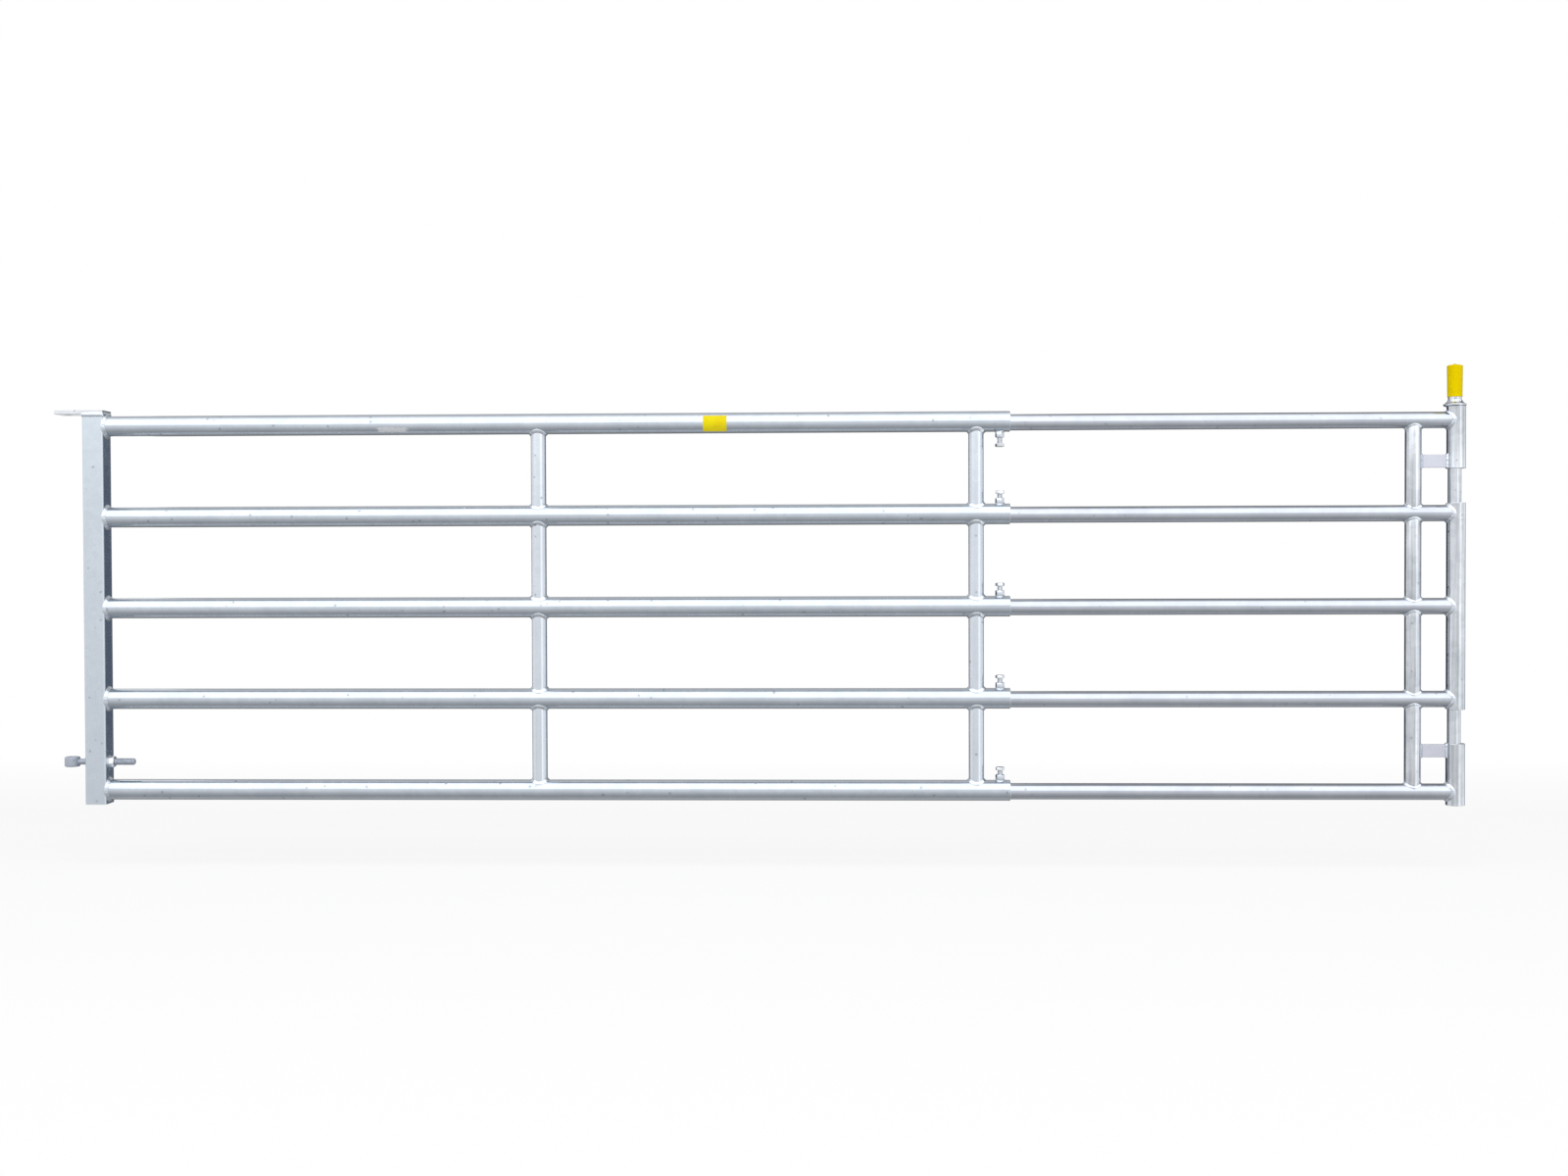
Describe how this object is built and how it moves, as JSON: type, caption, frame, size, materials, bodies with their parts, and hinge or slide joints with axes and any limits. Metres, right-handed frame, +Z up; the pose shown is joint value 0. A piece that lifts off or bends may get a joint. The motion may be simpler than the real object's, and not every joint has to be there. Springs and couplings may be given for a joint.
{
  "type": "extendable field gate",
  "caption": "Extendable field gate of galvanised round tube, with a hinge post, outer rails, a sliding inner section held by clamp screws, and a lift-out latch rod with a yellow grip.",
  "frame": {"origin": "on the hinge axis, at the underside of the top hinge plate", "axes": "+X along the rails from the hinge side to the latch end, +Y to the rear, +Z up"},
  "size_m": [3.2922, 0.051, 1.02],
  "materials": {
    "galvanised_tube": "hot-dip galvanised, mottled satin",
    "smooth_galvanised_tube": "galvanised, smooth and bright",
    "galvanised_bolt": "galvanised, dull",
    "yellow_grip": "soft moulded plastic"
  },
  "bodies": {
    "outer_frame": {"hinge_post": "galvanised_tube", "top_hinge_plate": "galvanised_tube", "eye_bolt_nut": "galvanised_bolt", "outer_rail_1": "galvanised_tube", "outer_rail_2": "galvanised_tube", "outer_rail_3": "galvanised_tube", "outer_rail_4": "galvanised_tube", "outer_rail_5": "galvanised_tube", "mid_stile_1": "galvanised_tube", "mid_stile_2": "galvanised_tube", "mid_stile_3": "galvanised_tube", "mid_stile_4": "galvanised_tube", "end_stile_1": "galvanised_tube", "end_stile_2": "galvanised_tube", "end_stile_3": "galvanised_tube", "end_stile_4": "galvanised_tube", "clamp_nut_1": "galvanised_tube", "clamp_nut_2": "galvanised_tube", "clamp_nut_3": "galvanised_tube", "clamp_nut_4": "galvanised_tube", "clamp_nut_5": "galvanised_tube"},
    "eye_bolt": {"eye_bolt": "galvanised_bolt"},
    "clamp_screw_1": {"clamp_screw_1": "galvanised_bolt"},
    "clamp_screw_2": {"clamp_screw_2": "galvanised_bolt"},
    "clamp_screw_3": {"clamp_screw_3": "galvanised_bolt"},
    "clamp_screw_4": {"clamp_screw_4": "galvanised_bolt"},
    "clamp_screw_5": {"clamp_screw_5": "galvanised_bolt"},
    "sliding_section": {"inner_rail_1": "smooth_galvanised_tube", "inner_rail_2": "smooth_galvanised_tube", "inner_rail_3": "smooth_galvanised_tube", "inner_rail_4": "smooth_galvanised_tube", "inner_rail_5": "smooth_galvanised_tube", "inner_stile_1": "smooth_galvanised_tube", "inner_stile_2": "smooth_galvanised_tube", "inner_stile_3": "smooth_galvanised_tube", "inner_stile_4": "smooth_galvanised_tube", "upper_guide": "smooth_galvanised_tube", "middle_guide": "smooth_galvanised_tube", "lower_guide": "smooth_galvanised_tube", "upper_bracket": "smooth_galvanised_tube", "lower_bracket": "smooth_galvanised_tube"},
    "latch_pin": {"latch_rod": "smooth_galvanised_tube", "latch_collar": "smooth_galvanised_tube", "grip": "yellow_grip"}
  },
  "joints": [
    {"name": "section_slide", "type": "slide", "parent": "outer_frame", "child": "sliding_section", "axis": [1, 0, 0], "range_m": [-0.905, 0.73]},
    {"name": "latch_lift", "type": "slide", "parent": "sliding_section", "child": "latch_pin", "axis": [0, 0, 1], "range_m": [0, 0.79]},
    {"name": "eye_bolt_adjust", "type": "slide", "parent": "outer_frame", "child": "eye_bolt", "axis": [1, 0, 0], "range_m": [-0.045, 0.02]},
    {"name": "clamp_screw_1_loosen", "type": "slide", "parent": "outer_frame", "child": "clamp_screw_1", "axis": [0, 0, -1], "range_m": [0, 0.01]},
    {"name": "clamp_screw_2_loosen", "type": "slide", "parent": "outer_frame", "child": "clamp_screw_2", "axis": [0, 0, 1], "range_m": [0, 0.01]},
    {"name": "clamp_screw_3_loosen", "type": "slide", "parent": "outer_frame", "child": "clamp_screw_3", "axis": [0, 0, 1], "range_m": [0, 0.01]},
    {"name": "clamp_screw_4_loosen", "type": "slide", "parent": "outer_frame", "child": "clamp_screw_4", "axis": [0, 0, 1], "range_m": [0, 0.01]},
    {"name": "clamp_screw_5_loosen", "type": "slide", "parent": "outer_frame", "child": "clamp_screw_5", "axis": [0, 0, 1], "range_m": [0, 0.01]}
  ]
}
